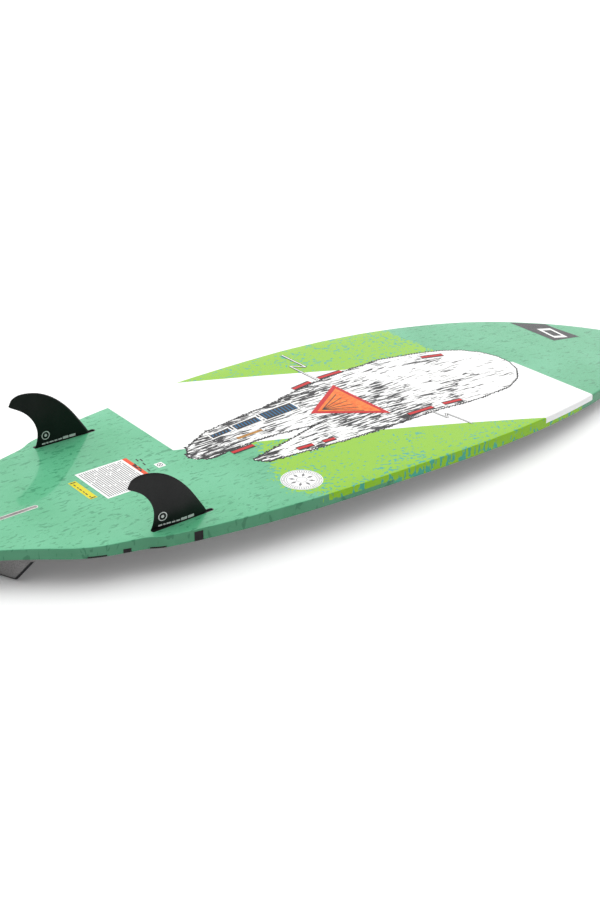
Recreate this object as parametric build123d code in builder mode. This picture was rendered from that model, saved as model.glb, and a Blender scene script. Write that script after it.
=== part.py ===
from build123d import *
import os
from math import cos, radians, sin, sqrt

# Surf-style directional board, lying on its deck with the fins up. Millimetres.
# Origin: on the surface that the board rests on, under the middle of its length.
# +X runs to the nose, +Z up, so the rider's left is -Y.

# Hull
TAIL_X = -750.0
NOSE_X = 750.0
BOTTOM_Z = 67.0  # height of the flat part of the bottom
NOSE_ROCKER_START = -300.0
NOSE_ROCKER = 54.6  # drop of the bottom at the nose
NOSE_ROCKER_POWER = 2.68
TAIL_ROCKER_START = -475.0
TAIL_ROCKER = 2.7
WIDEST = (75.0, 254.0)
FRONT_CURVE = [  # tangent arcs run through these points, from the widest point to the nose
    WIDEST, (259, 243), (442, 207), (580, 152), (700, 69), (740.5, 27), (NOSE_X, 0),
]
REAR_CURVE = [  # and from the widest point past the wing to the tail's corner
    WIDEST, (-108, 251), (-291, 236), (-420, 214.5), (-463, 204.5), (-481.5, 195.7),
    (-500, 187), (-540, 177), (-613, 141), (-690, 87), (-738.5, 48), (TAIL_X, 22),
]
CROWN_RADIUS = 2300.0  # the deck's arch across the board
SECTION_HALF = 300.0  # sections are wider than the board and are trimmed by its outline
FAR = 150.0  # clear of the board, above and below
THICKNESS = {  # on the centreline, by distance along the board
    -760: 16.0, -640: 22.0, -475: 29.0, -280: 33.0, -90: 34.0, 100: 34.0,
    280: 32.0, 430: 28.5, 560: 23.5, 670: 17.0, 760: 12.0,
}
SKIN = 1.0
RAIL_SEAM = 8.0  # height of the skins' seam above the deck

# Core
STRINGER = 4.0
TAIL_BLOCK_FRONT_X = -560.0  # denser foam behind this holds the centre fin box and the leash plug

# Fins, in the fin's own axes: u runs forward along the base, h up the blade
FIN_X = -475.0  # trailing corner of the base
FIN_Y = 178.5
TOE_IN = 1.5
FIN_BASE = 105.5
FIN_GAP = 0.3  # under the blade
TAB_START = 1.0
TAB_END = 104.5
TAB_WIDTH = 6.0
TAB_DEPTH = 12.5
FOIL = [  # leading edge, trailing edge and thickness at each chord of the blade
    ((105.5, 0.0), (0.0, 0.0), 7.2),
    ((95.0, 18.0), (6.3, 16.0), 6.7),
    ((82.0, 38.0), (6.9, 31.0), 6.0),
    ((66.0, 59.0), (2.5, 46.0), 5.2),
    ((46.0, 78.5), (-7.0, 61.0), 4.4),
    ((24.0, 93.0), (-18.5, 72.0), 3.6),
    ((2.0, 101.0), (-29.0, 79.0), 2.8),
    ((-19.0, 103.6), (-37.0, 83.5), 2.0),
    ((-36.0, 98.0), (-42.0, 87.5), 1.1),
]
TRAILING_EDGE = 0.6

# Fin boxes, in the same axes
SLOT_START = 0.4
SLOT_DEEP_END = 105.0
SLOT_END = 117.0
SLOT_WIDTH = 6.6
SLOT_DEPTH = 13.5
SLOT_FRONT_DEPTH = 3.0
BOX_MARGIN = 5.0
BOX_WIDTH = 17.0
BOX_DEPTH = 16.0
COLLAR = 1.4  # rim of the box around its slot, flush with the bottom
CENTRE_BOX_X = -691.5

# Grub screws of the fin boxes (M5)
SCREW_U = 107.35
SCREW_RADIUS = 2.45
SCREW_HOLE_RADIUS = 2.5
SCREW_LENGTH = 8.0
SCREW_TOP = 3.4  # below the bottom
HEX_KEY = 2.5
HEX_DEPTH = 2.5
SCREW_CHAMFER = 0.4

# Pads
PAD_GAP = 0.1
TAIL_PAD = 5.0
TAIL_PAD_INSET = 12.0
TAIL_PAD_FRONT_X = -400.0
TAIL_PAD_SIDE_FRONT_X = -425.0
TAIL_PAD_SPLIT = 26.0
PAD_SEAM = 3.0
KICK_CENTRE_X = -518.0
KICK_BACK_RADIUS = 171.0
KICK_CREST_OUTER = 165.0
KICK_CREST_INNER = 160.0
KICK_FRONT_RADIUS = 112.0
KICK_END_ANGLE = 40.0
KICK_END_TILT = 41.0
KICK_BACK_TOP = 20.0
KICK_FRONT_TOP = 37.0
ARCH_TOP = 27.0
ARCH_RADIUS = 40.0
ARCH_START_X = -600.0
ARCH_LENGTH = 180.0
FRONT_PAD = 4.0
FRONT_PAD_LENGTH = 400.0
FRONT_PAD_WIDTH = 165.0
PAD_CORNER = 22.0

# Foot-strap inserts (M6)
INSERT_RADIUS = 6.0
INSERT_FLANGE = 8.0
INSERT_FLANGE_DEPTH = 1.5
INSERT_DEPTH = 14.0
INSERT_BORE = 2.5
INSERT_BORE_DEPTH = 12.0
INSERT_PITCH = 25.0
FRONT_STRAP_X = 0.0
FRONT_STRAP_Y = 80.0
REAR_STRAP_X = -527.5
REAR_STRAP_Y = 75.0
PAD_HOLE = 9.0

# Leash plug
LEASH_X = -719.0
LEASH_RADIUS = 14.5
LEASH_DEPTH = 13.0
LEASH_CAVITY_RADIUS = 11.0
LEASH_CAVITY_DEPTH = 10.5
LEASH_PIN_RADIUS = 1.75
LEASH_PIN_DEPTH = 3.6
LEASH_PIN_LENGTH = 25.0

# Vent
VENT_X = 330.0
VENT_Y = 32.0
VENT_RADIUS = 11.0
VENT_DEPTH = 13.0
VENT_RECESS_RADIUS = 6.8
VENT_RECESS_DEPTH = 4.2
VENT_HEAD_RADIUS = 6.3
VENT_HEAD_TOP = 0.6
VENT_SHANK_RADIUS = 2.95
VENT_BORE_RADIUS = 3.0
VENT_SHANK_LENGTH = 6.0
SEAL_RADIUS = 4.8
SEAL_SECTION = 0.5
SEAL_GAP = 0.1
VENT_SLOT_LENGTH = 10.0
VENT_SLOT_WIDTH = 1.6
VENT_SLOT_DEPTH = 1.3

CLEAR = 2.0  # how far a cut runs past the surface it opens through

os.makedirs("parts", exist_ok=True)


def save(builder, name):
    builder.part.label = name
    export_step(builder.part, f"parts/{name}.step")


def bottom_z(x):
    """Height of the bottom on the centreline."""
    nose = max(0.0, x - NOSE_ROCKER_START) / (NOSE_X - NOSE_ROCKER_START)
    tail = max(0.0, TAIL_ROCKER_START - x) / (TAIL_ROCKER_START - TAIL_X)
    return BOTTOM_Z - NOSE_ROCKER * nose**NOSE_ROCKER_POWER - TAIL_ROCKER * tail**2


def crown(y):
    """Rise of the deck above its centreline at distance y from it."""
    return CROWN_RADIUS - sqrt(CROWN_RADIUS**2 - y**2)


def outline(inset):
    """The board's plan shape, smaller by inset all round."""
    with BuildSketch() as plan:
        with BuildLine():
            for curve, tangent in ((FRONT_CURVE, (1, 0)), (REAR_CURVE, (-1, 0))):
                for start, end in zip(curve, curve[1:]):
                    arc = TangentArc(start, end, tangent=tangent)
                    tangent = arc % 1
            Line(REAR_CURVE[-1], (TAIL_X, 0))
            mirror(about=Plane.XZ)
        make_face()
        if inset:
            offset(amount=-inset)
    return plan.sketch


def under_bottom(inset):
    """Everything below the bottom surface, lowered by inset."""
    curve = [(x, bottom_z(x) - inset) for x in THICKNESS]
    with BuildPart() as body:
        with BuildSketch(Plane.XZ.offset(-SECTION_HALF)):
            with BuildLine():
                Spline(curve)
                Polyline(curve[-1], (curve[-1][0], -FAR), (curve[0][0], -FAR), curve[0])
            make_face()
        extrude(amount=2 * SECTION_HALF)
    return body.part


def above_deck(inset):
    """Everything above the deck surface, raised by inset (a pad's face has a negative one)."""
    rise = crown(SECTION_HALF)
    with BuildPart() as body:
        for x, thickness in THICKNESS.items():
            low = bottom_z(x) - thickness + inset
            with BuildSketch(Plane(origin=(x, 0, 0), x_dir=(0, 1, 0), z_dir=(1, 0, 0))):
                with BuildLine():
                    ThreePointArc((-SECTION_HALF, low + rise), (0, low), (SECTION_HALF, low + rise))
                    Polyline((SECTION_HALF, low + rise), (SECTION_HALF, FAR), (-SECTION_HALF, FAR),
                             (-SECTION_HALF, low + rise))
                make_face()
        loft()
    return body.part


def hull(inset):
    """The board's solid shape, smaller by inset all round."""
    plan = outline(inset)
    lower = under_bottom(inset)
    upper = above_deck(inset)
    with BuildPart() as body:
        with BuildSketch(Plane.XY.offset(-FAR)):
            add(plan)
        extrude(amount=2 * FAR)
        add(lower, mode=Mode.INTERSECT)
        add(upper, mode=Mode.INTERSECT)
    return body.part


def fin_plane(origin, side):
    """The axes of a fin and its box: x along the chord to the nose, z up the blade.
    side is -1 on the left, 1 on the right and 0 on the centreline."""
    toe = radians(TOE_IN) * side
    return Plane(origin=origin, x_dir=(cos(toe), -sin(toe), 0), z_dir=(0, 0, 1))


def span(start, end, width, rounded=True):
    """A straight slot shape from start to end along x, in the sketch that is open."""
    with Locations(((start + end) / 2, 0)):
        if rounded:
            SlotOverall(end - start, width)
        else:
            Rectangle(end - start, width)


def box_envelope(plane):
    """The outer shape of a fin box, trimmed flush with the bottom."""
    with BuildPart() as body:
        with BuildSketch(plane.offset(-SKIN)):
            span(SLOT_START - BOX_MARGIN, SLOT_END + BOX_MARGIN, BOX_WIDTH)
        extrude(amount=SKIN - BOX_DEPTH)
        with BuildSketch(plane.offset(-2 * SKIN)):
            span(SLOT_START - COLLAR, SLOT_END + COLLAR, SLOT_WIDTH + 2 * COLLAR)
        extrude(amount=4 * SKIN)
        add(hull_solid, mode=Mode.INTERSECT)
    return body.part


def fin_box(plane, envelope):
    """A fin box with its slot and the threaded hole at the slot's front."""
    with BuildPart() as body:
        add(envelope)
        with BuildSketch(plane.offset(-SLOT_DEPTH)):
            span(SLOT_START, SLOT_DEEP_END, SLOT_WIDTH, rounded=False)
        extrude(amount=SLOT_DEPTH + CLEAR, mode=Mode.SUBTRACT)
        with BuildSketch(plane.offset(-SLOT_FRONT_DEPTH)):
            span(SLOT_START, SLOT_END, SLOT_WIDTH)
        extrude(amount=SLOT_FRONT_DEPTH + CLEAR, mode=Mode.SUBTRACT)
        with BuildSketch(plane.offset(-SCREW_TOP - SCREW_LENGTH - 1)):
            with Locations((SCREW_U, 0)):
                Circle(SCREW_HOLE_RADIUS)
        extrude(amount=SCREW_LENGTH + SCREW_TOP, mode=Mode.SUBTRACT)
    return body


def grub_screw(plane):
    """A grub screw with a hexagon socket."""
    with BuildPart() as body:
        with BuildSketch(plane.offset(-SCREW_TOP)):
            with Locations((SCREW_U, 0)):
                Circle(SCREW_RADIUS)
        extrude(amount=-SCREW_LENGTH)
        chamfer(body.edges().filter_by(GeomType.CIRCLE), SCREW_CHAMFER)
        with BuildSketch(plane.offset(-SCREW_TOP)):
            with Locations((SCREW_U, 0)):
                RegularPolygon(HEX_KEY / 2, 6, major_radius=False)
        extrude(amount=-HEX_DEPTH, mode=Mode.SUBTRACT)
    return body


def foil_section(plane, chord, side):
    """One chord's section of a side fin: flat inside, curved outside, rounded in front."""
    (lead_u, lead_h), (trail_u, trail_h), thickness = chord
    trail = plane.from_local_coords(Vector(trail_u, 0, trail_h + FIN_GAP))
    lead = plane.from_local_coords(Vector(lead_u, 0, lead_h + FIN_GAP))
    out = plane.y_dir * side
    forward = (lead - trail).normalized()
    length = (lead - trail).length
    flat = -thickness / 2
    with BuildSketch(Plane(origin=trail, x_dir=forward, z_dir=forward.cross(out))) as section:
        with BuildLine():
            Spline([(0, flat + TRAILING_EDGE), (0.45 * length, 0.36 * thickness),
                    (0.78 * length, 0.49 * thickness), (length, -0.2 * thickness),
                    (0.965 * length, flat)])
            Polyline((0.965 * length, flat), (0, flat), (0, flat + TRAILING_EDGE))
        make_face()
    return section.sketch


def side_fin(plane, side):
    """A blade and the tab under it."""
    sections = [foil_section(plane, chord, side) for chord in FOIL]
    with BuildPart() as body:
        loft(sections)
        with BuildSketch(plane.offset(2 * FIN_GAP)):
            span(TAB_START, TAB_END, TAB_WIDTH, rounded=False)
        extrude(amount=-2 * FIN_GAP - TAB_DEPTH)
    return body


def pad_layer(thickness):
    """A layer of that thickness against the deck."""
    outer = above_deck(-PAD_GAP - thickness)
    inner = above_deck(-PAD_GAP)
    with BuildPart() as body:
        add(outer)
        add(inner, mode=Mode.SUBTRACT)
    return body.part


def strap_places(x, y, rows):
    """Where a strap's inserts stand: a pair in each row, rows one pitch apart."""
    first = x - INSERT_PITCH * (rows - 1) / 2
    return [(first + INSERT_PITCH * row, side * y) for row in range(rows) for side in (-1, 1)]


def deck_plane(x, y):
    """A plane on the deck at (x, y), facing down, away from the board."""
    stations = sorted(THICKNESS)
    behind = max(station for station in stations if station <= x)
    ahead = min(station for station in stations if station > x)
    part = (x - behind) / (ahead - behind)
    thickness = THICKNESS[behind] + part * (THICKNESS[ahead] - THICKNESS[behind])
    height = bottom_z(x) - thickness + crown(y)
    return Plane(origin=(x, y, height), x_dir=(1, 0, 0), z_dir=(0, 0, -1))


def plug_envelope(places, radius, depth, flange=0.0, flange_depth=0.0):
    """The outer shape of round fittings let into the deck, trimmed flush with it."""
    with BuildPart() as body:
        for x, y in places:
            with BuildSketch(deck_plane(x, y).offset(-depth)):
                Circle(radius)
            extrude(amount=depth + CLEAR)
            if flange:
                with BuildSketch(deck_plane(x, y).offset(-flange_depth)):
                    Circle(flange)
                extrude(amount=flange_depth + CLEAR)
        add(hull_solid, mode=Mode.INTERSECT)
    return body.part


def deck_holes(places, radius, depth):
    """Round holes of that depth into the deck and through a pad on it."""
    with BuildPart() as body:
        for x, y in places:
            with BuildSketch(deck_plane(x, y).offset(-depth)):
                Circle(radius)
            extrude(amount=depth + 3 * TAIL_PAD)
    return body.part


def slab(length, y, width):
    """A tall block over a length of the board, for cutting pieces to that length."""
    middle_x, extent = length
    with BuildPart() as body:
        with BuildSketch(Plane.XY.offset(-FAR)):
            with Locations((middle_x, y)):
                Rectangle(extent, width)
        extrude(amount=2 * FAR)
    return body.part


# Board shape

hull_solid = hull(0)
core_solid = hull(SKIN)

# Fins, fin boxes and their screws

fin_planes = {
    "left": fin_plane((FIN_X, -FIN_Y, BOTTOM_Z), -1),
    "right": fin_plane((FIN_X, FIN_Y, BOTTOM_Z), 1),
    "centre": fin_plane((CENTRE_BOX_X, 0, bottom_z(CENTRE_BOX_X + FIN_BASE / 2)), 0),
}
envelopes = {name: box_envelope(plane) for name, plane in fin_planes.items()}
for name, plane in fin_planes.items():
    save(fin_box(plane, envelopes[name]), f"{name}_fin_box")
    save(grub_screw(plane), f"{name}_fin_screw")
for name, side in (("left", -1), ("right", 1)):
    save(side_fin(fin_planes[name], side), f"{name}_fin")

# Foot-strap inserts

strap_rows = {
    "front": strap_places(FRONT_STRAP_X, FRONT_STRAP_Y, 3),
    "rear": strap_places(REAR_STRAP_X, REAR_STRAP_Y, 2),
}
for name, places in strap_rows.items():
    envelopes[name] = plug_envelope(places, INSERT_RADIUS, INSERT_DEPTH, INSERT_FLANGE, INSERT_FLANGE_DEPTH)
    bores = deck_holes(places, INSERT_BORE, INSERT_BORE_DEPTH)
    with BuildPart() as inserts:
        add(envelopes[name])
        add(bores, mode=Mode.SUBTRACT)
    save(inserts, f"{name}_strap_inserts")

# Leash plug: a round cup with a pin across it

envelopes["leash"] = plug_envelope([(LEASH_X, 0)], LEASH_RADIUS, LEASH_DEPTH)
leash_plane = deck_plane(LEASH_X, 0)
pin_centre = leash_plane.origin + Vector(0, 0, LEASH_PIN_DEPTH)
with BuildPart() as leash_pin:
    with BuildSketch(Plane(origin=pin_centre, z_dir=(0, 1, 0))):
        Circle(LEASH_PIN_RADIUS)
    extrude(amount=LEASH_PIN_LENGTH / 2, both=True)
save(leash_pin, "leash_plug_pin")
with BuildPart() as leash_cup:
    add(envelopes["leash"])
    with BuildSketch(leash_plane.offset(-LEASH_CAVITY_DEPTH)):
        Circle(LEASH_CAVITY_RADIUS)
    extrude(amount=LEASH_CAVITY_DEPTH + CLEAR, mode=Mode.SUBTRACT)
    add(leash_pin.part, mode=Mode.SUBTRACT)
save(leash_cup, "leash_plug_cup")

# Pressure vent: a body, a screw and the seal under the screw's head

envelopes["vent"] = plug_envelope([(VENT_X, VENT_Y)], VENT_RADIUS, VENT_DEPTH)
vent_plane = deck_plane(VENT_X, VENT_Y)
with BuildPart() as vent_body:
    add(envelopes["vent"])
    with BuildSketch(vent_plane.offset(-VENT_RECESS_DEPTH)):
        Circle(VENT_RECESS_RADIUS)
    extrude(amount=VENT_RECESS_DEPTH + CLEAR, mode=Mode.SUBTRACT)
    with BuildSketch(vent_plane.offset(-VENT_DEPTH - CLEAR)):
        Circle(VENT_BORE_RADIUS)
    extrude(amount=VENT_DEPTH + CLEAR, mode=Mode.SUBTRACT)
save(vent_body, "vent_body")
head_bottom = VENT_RECESS_DEPTH - 2 * SEAL_SECTION - SEAL_GAP
with BuildPart() as vent_screw:
    with BuildSketch(vent_plane.offset(-head_bottom)):
        Circle(VENT_HEAD_RADIUS)
    extrude(amount=head_bottom - VENT_HEAD_TOP)
    chamfer(vent_screw.edges().filter_by(GeomType.CIRCLE).sort_by(Axis.Z)[0], 0.5)
    with BuildSketch(vent_plane.offset(-head_bottom)):
        Circle(VENT_SHANK_RADIUS)
    extrude(amount=-VENT_SHANK_LENGTH)
    with BuildSketch(vent_plane.offset(-VENT_HEAD_TOP)):
        Rectangle(VENT_SLOT_LENGTH, VENT_SLOT_WIDTH)
    extrude(amount=-VENT_SLOT_DEPTH, mode=Mode.SUBTRACT)
save(vent_screw, "vent_screw")
seal_centre = Vector(SEAL_RADIUS, 0, VENT_RECESS_DEPTH - SEAL_SECTION - SEAL_GAP / 2)
with BuildPart() as vent_seal:
    with BuildSketch(Plane(origin=vent_plane.origin + seal_centre, z_dir=(0, -1, 0))):
        Circle(SEAL_SECTION)
    revolve(axis=Axis(vent_plane.origin, (0, 0, 1)))
save(vent_seal, "vent_seal")

# Skins: the deck's is in two lengths, with heavier cloth over the tail block

seam_solid = above_deck(RAIL_SEAM)
tail_middle_x = (TAIL_X + TAIL_BLOCK_FRONT_X) / 2
front_middle_x = (TAIL_BLOCK_FRONT_X + NOSE_X) / 2
lengths = {  # middle and length of each part of the board
    "tail": (tail_middle_x, TAIL_BLOCK_FRONT_X - TAIL_X),
    "front": (front_middle_x, NOSE_X - TAIL_BLOCK_FRONT_X),
}
with BuildPart() as shell:
    add(hull_solid)
    add(core_solid, mode=Mode.SUBTRACT)
    for envelope in envelopes.values():
        add(envelope, mode=Mode.SUBTRACT)
with BuildPart() as bottom_laminate:
    add(shell.part)
    add(seam_solid, mode=Mode.INTERSECT)
save(bottom_laminate, "bottom_laminate")
for name, length in (("tail_deck_laminate", "tail"), ("deck_laminate", "front")):
    with BuildPart() as laminate:
        add(shell.part)
        add(seam_solid, mode=Mode.SUBTRACT)
        add(slab(lengths[length], 0, 2 * SECTION_HALF), mode=Mode.INTERSECT)
    save(laminate, name)

# Core: a tail block, and two halves of foam with a stringer between them

with BuildPart() as core:
    add(core_solid)
    for envelope in envelopes.values():
        add(envelope, mode=Mode.SUBTRACT)
foam_y = (SECTION_HALF + STRINGER) / 2
for name, length, y, width in (
    ("tail_block", "tail", 0, 2 * SECTION_HALF),
    ("stringer", "front", 0, STRINGER),
    ("foam_core_left", "front", -foam_y, SECTION_HALF),
    ("foam_core_right", "front", foam_y, SECTION_HALF),
):
    with BuildPart() as piece:
        add(core.part)
        add(slab(lengths[length], y, width), mode=Mode.INTERSECT)
    save(piece, name)

# Tail pad: three pieces, each with its part of the kick

tail_layer = pad_layer(TAIL_PAD)
under_deck = above_deck(-PAD_GAP)
tail_plan = outline(TAIL_PAD_INSET)
kick_back = KICK_CENTRE_X - KICK_BACK_RADIUS
kick_front = KICK_CENTRE_X - KICK_FRONT_RADIUS
crest_back = KICK_CENTRE_X - KICK_CREST_OUTER
crest_front = KICK_CENTRE_X - KICK_CREST_INNER
with BuildPart() as kick:
    with BuildSketch(Plane.XZ):
        with BuildLine():
            Line((kick_back, BOTTOM_Z), (kick_back, KICK_BACK_TOP))
            Spline([(kick_back, KICK_BACK_TOP), (crest_back, 0)], tangents=[(0, -1), (1, -0.6)])
            Line((crest_back, 0), (crest_front, 0))
            Spline([(crest_front, 0), (kick_front, KICK_FRONT_TOP)], tangents=[(0.5, 1), (1, 0.15)])
            Polyline((kick_front, KICK_FRONT_TOP), (kick_front, BOTTOM_Z), (kick_back, BOTTOM_Z))
        make_face()
    revolve(axis=Axis((KICK_CENTRE_X, 0, 0), (0, 0, 1)))
    for side in (-1, 1):
        turn = radians(KICK_END_ANGLE)
        tilt = radians(KICK_END_TILT)
        end_x = KICK_CENTRE_X - KICK_CREST_INNER * cos(turn)
        end_y = side * KICK_CREST_INNER * sin(turn)
        inward = Vector(-sin(turn) * cos(tilt), -side * cos(turn) * cos(tilt), sin(tilt))
        split(bisect_by=Plane(origin=(end_x, end_y, KICK_FRONT_TOP), z_dir=inward), keep=Keep.TOP)
    add(under_deck, mode=Mode.SUBTRACT)
arch_plane = Plane(origin=(ARCH_START_X, 0, ARCH_TOP + ARCH_RADIUS), x_dir=(0, 1, 0), z_dir=(1, 0, 0))
with BuildPart() as arch:
    with BuildSketch(arch_plane):
        Circle(ARCH_RADIUS)
    extrude(amount=ARCH_LENGTH)
    add(under_deck, mode=Mode.SUBTRACT)
rear_holes = deck_holes(strap_rows["rear"], PAD_HOLE, 1)
pad_edges = {
    "left": (-SECTION_HALF, -TAIL_PAD_SPLIT, TAIL_PAD_SIDE_FRONT_X),
    "centre": (PAD_SEAM - TAIL_PAD_SPLIT, TAIL_PAD_SPLIT - PAD_SEAM, TAIL_PAD_FRONT_X),
    "right": (TAIL_PAD_SPLIT, SECTION_HALF, TAIL_PAD_SIDE_FRONT_X),
}
for name, (low_y, high_y, front_x) in pad_edges.items():
    with BuildPart() as tail_pad:
        add(tail_layer)
        add(kick.part)
        if name == "centre":
            add(arch.part)
        with BuildSketch(Plane.XY.offset(-FAR)):
            with Locations((KICK_CENTRE_X, 0)):
                Circle(KICK_BACK_RADIUS)
            with Locations(((KICK_CENTRE_X + front_x) / 2, 0)):
                Rectangle(front_x - KICK_CENTRE_X, 2 * SECTION_HALF)
            add(tail_plan, mode=Mode.INTERSECT)
            with Locations(((TAIL_X + front_x) / 2, (low_y + high_y) / 2)):
                Rectangle(front_x - TAIL_X, high_y - low_y, mode=Mode.INTERSECT)
            fillet(vertices().group_by(Axis.X)[-1], PAD_CORNER)
        extrude(amount=2 * FAR, mode=Mode.INTERSECT)
        add(rear_holes, mode=Mode.SUBTRACT)
    save(tail_pad, f"tail_pad_{name}")

# Front pads

front_layer = pad_layer(FRONT_PAD)
front_holes = deck_holes(strap_rows["front"], PAD_HOLE, 1)
for name, side in (("left", -1), ("right", 1)):
    with BuildPart() as front_pad:
        add(front_layer)
        with BuildSketch(Plane.XY.offset(-FAR)):
            with Locations((FRONT_STRAP_X, side * (FRONT_PAD_WIDTH + PAD_SEAM) / 2)):
                RectangleRounded(FRONT_PAD_LENGTH, FRONT_PAD_WIDTH, PAD_CORNER)
        extrude(amount=2 * FAR, mode=Mode.INTERSECT)
        add(front_holes, mode=Mode.SUBTRACT)
    save(front_pad, f"front_pad_{name}")
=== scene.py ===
import random
from math import cos, pi, radians, sin

import bmesh
import bpy
import numpy as np
from mathutils import Matrix, Vector
from mathutils.bvhtree import BVHTree


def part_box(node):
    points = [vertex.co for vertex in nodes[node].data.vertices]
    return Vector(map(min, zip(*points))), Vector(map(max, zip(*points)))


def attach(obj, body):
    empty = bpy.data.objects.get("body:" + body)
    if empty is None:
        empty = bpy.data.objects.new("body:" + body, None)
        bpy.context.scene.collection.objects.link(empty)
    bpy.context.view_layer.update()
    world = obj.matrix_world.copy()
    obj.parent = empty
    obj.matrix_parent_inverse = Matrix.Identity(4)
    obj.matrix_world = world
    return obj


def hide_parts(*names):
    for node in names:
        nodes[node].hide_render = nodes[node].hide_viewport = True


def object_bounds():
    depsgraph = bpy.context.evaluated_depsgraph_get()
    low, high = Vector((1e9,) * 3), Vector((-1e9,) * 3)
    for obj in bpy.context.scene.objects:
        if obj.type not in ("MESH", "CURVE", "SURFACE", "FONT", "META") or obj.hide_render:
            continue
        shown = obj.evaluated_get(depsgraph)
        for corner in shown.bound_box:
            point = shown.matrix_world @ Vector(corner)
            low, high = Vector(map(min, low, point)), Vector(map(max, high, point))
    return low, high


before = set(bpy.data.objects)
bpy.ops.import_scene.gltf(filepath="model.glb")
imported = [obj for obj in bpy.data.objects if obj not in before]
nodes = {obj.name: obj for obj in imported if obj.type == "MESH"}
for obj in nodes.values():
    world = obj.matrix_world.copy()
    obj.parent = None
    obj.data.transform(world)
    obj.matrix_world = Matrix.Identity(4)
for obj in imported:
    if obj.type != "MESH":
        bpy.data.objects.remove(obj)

# A surf-style kiteboard lying on its deck. Metres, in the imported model's own frame: +X runs to
# the nose, +Z up, and the rider's left is -Y. Plan shapes are written in millimetres.

MM = 0.001
cad_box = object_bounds()
low, high = (Vector(corner) for corner in cad_box)

# Colours, in sRGB from 0 to 255
TEAL = (86, 174, 128)
TEAL_DEEP = (46, 130, 92)
TEAL_PALE = (102, 187, 144)
LIME = (136, 191, 12)
LIME_FLECK = (62, 164, 140)
WHITE = (246, 246, 246)
INK = (24, 22, 24)
ORANGE = (224, 92, 4)
RED = (198, 8, 14)
BLUE = (4, 102, 152)
LABEL_ORANGE = (228, 74, 26)
LABEL_YELLOW = (220, 208, 8)
PATCH_GREY = (54, 53, 55)
# Mixed into the teal: painted shade on the upright rail, and a deeper tone over the nose
SHADE_AND_TONE_GREY = (52, 76, 60)
BAND_GREY = (243, 244, 244)
PAPER = (246, 246, 245)
STROKE_GREY = (44, 43, 46)
DECK_GREY = (146, 148, 147)
DECK_PALE = (158, 159, 158)
DECK_FLECK = (104, 110, 108)
FIN_BLACK = (15, 15, 16)
FIN_FLOW = (22, 22, 23)
WOOD = (206, 170, 118)
WOOD_RING = (170, 130, 82)
EVA_GREY = (126, 124, 124)
EVA_PALE = (148, 146, 146)
EVA_LAYER = (26, 26, 28)


def linear(colour):
    """An sRGB colour as the linear RGBA that a shader takes."""
    channels = []
    for value in colour:
        part = value / 255
        channels.append(part / 12.92 if part <= 0.04045 else ((part + 0.055) / 1.055) ** 2.4)
    return (*channels, 1.0)


def scaled(colour, part):
    """A colour with every channel scaled."""
    return tuple(value * part for value in colour)


# Shader helpers


class Shader:
    """A material's node tree around one Principled shader."""

    def __init__(self, name, **sockets):
        self.material = bpy.data.materials.new(name)
        self.material.use_nodes = True
        self.tree = self.material.node_tree
        self.bsdf = self.tree.nodes["Principled BSDF"]
        self.set(**sockets)

    def set(self, **sockets):
        """Gives the Principled shader's sockets values or links. Underscores stand for spaces."""
        for name, value in sockets.items():
            self.feed(self.bsdf.inputs[name.replace("_", " ")], value)

    def feed(self, socket, value):
        """Links a socket to another one, or sets its value."""
        if isinstance(value, bpy.types.NodeSocket):
            self.tree.links.new(value, socket)
        else:
            socket.default_value = value

    def add(self, kind, feeds=(), output=0, **settings):
        """Adds a node, feeds its inputs by name or number, and returns one of its outputs."""
        node = self.tree.nodes.new("ShaderNode" + kind)
        for name, value in settings.items():
            setattr(node, name, value)
        for name, value in dict(feeds).items():
            self.feed(node.inputs[name], value)
        return node.outputs[output]

    def place(self, scale=(1, 1, 1), turn=0.0):
        """Object coordinates, turned about Z and scaled."""
        point = self.add("TexCoord", output="Object")
        return self.add("Mapping", {"Vector": point, "Rotation": (0, 0, turn), "Scale": scale})

    def split(self, vector):
        """A vector's outputs X, Y and Z."""
        node = self.tree.nodes.new("ShaderNodeSeparateXYZ")
        self.feed(node.inputs[0], vector)
        return node.outputs

    def grain(self, scale, detail, where=None, distortion=0.0):
        """Noise over the given coordinates, or over the object's own."""
        feeds = {"Scale": scale, "Detail": detail, "Distortion": distortion}
        feeds["Vector"] = self.place() if where is None else where
        return self.add("TexNoise", feeds)

    def step(self, value, start, end, low=0.0, high=1.0):
        """Value mapped from start..end to low..high, clamped."""
        feeds = {"Value": value, "From Min": start, "From Max": end, "To Min": low, "To Max": high}
        return self.add("MapRange", feeds)

    def spread(self, noise, low=0.0, high=1.0):
        """The middle of a noise's range mapped to low..high, clamped."""
        return self.step(noise, 0.3, 0.7, low, high)

    def maths(self, operation, a, b=0.0):
        """One operation on one or two values."""
        return self.add("Math", {0: a, 1: b}, operation=operation)

    def mix(self, factor, a, b):
        """Colour a where the factor is 0, b where it is 1."""
        return self.add("Mix", {"Factor": factor, 6: a, 7: b}, output=2, data_type="RGBA")

    def relief(self, height, strength, distance):
        """A bumped normal."""
        return self.add("Bump", {"Height": height, "Strength": strength, "Distance": distance})

    def bump(self, height, strength, distance):
        """Bumps the surface under the coat."""
        self.set(Normal=self.relief(height, strength, distance))


def finish(material, obj):
    """Puts one material in all of an object's slots."""
    obj.data.materials.clear()
    obj.data.materials.append(material)


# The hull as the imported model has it

graph = bpy.context.evaluated_depsgraph_get()
bottom_tree = BVHTree.FromObject(nodes["bottom_laminate"], graph)
deck_trees = [BVHTree.FromObject(nodes[name], graph) for name in ("deck_laminate", "tail_deck_laminate")]
TIP = 0.0004  # how far inside the board's ends the first and last rays fall
STATIONS = 320
OFF_CENTRE = 0.0062  # clear of the centre fin box, inside the nose's tip
BELOW_EDGE = 0.002  # where the half-width is measured


def cast(tree, origin, direction):
    """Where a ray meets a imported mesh."""
    return tree.ray_cast(Vector(origin), Vector(direction))[0]


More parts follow.
